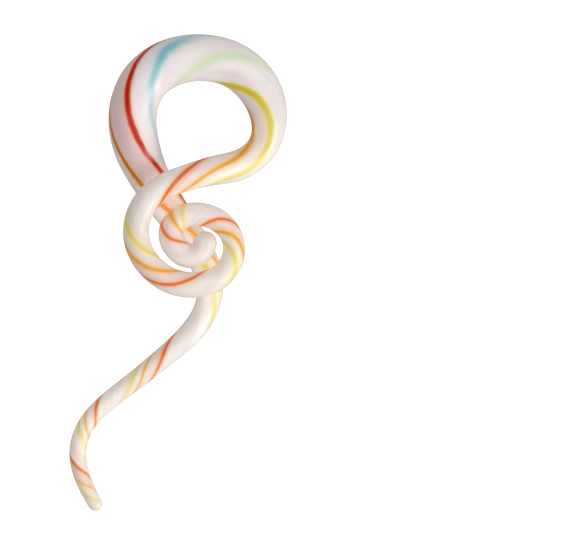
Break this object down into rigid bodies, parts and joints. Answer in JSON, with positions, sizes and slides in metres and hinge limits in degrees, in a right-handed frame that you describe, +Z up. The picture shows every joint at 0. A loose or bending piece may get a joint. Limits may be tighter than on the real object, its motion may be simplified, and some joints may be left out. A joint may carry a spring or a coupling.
{
  "type": "spiral ear taper",
  "caption": "Opal glass spiral ear taper: a striped round rod bent into a big loop, wound into a flat coil at its thin end, and drawn out at the other into a long curved tail.",
  "frame": {"origin": "middle of the underside of the taper's bounding box, as it lies flat on a surface", "axes": "+X across the loop, +Y from the tail's tip up to the loop, +Z up from the surface that it lies on"},
  "size_m": [0.0362, 0.0794, 0.0113],
  "materials": {
    "opal_glass": "flame-polished opal white glass with twisted stripes of coloured glass fused flush into it"
  },
  "bodies": {
    "root": {"spiral_taper": "opal_glass"}
  },
  "joints": []
}
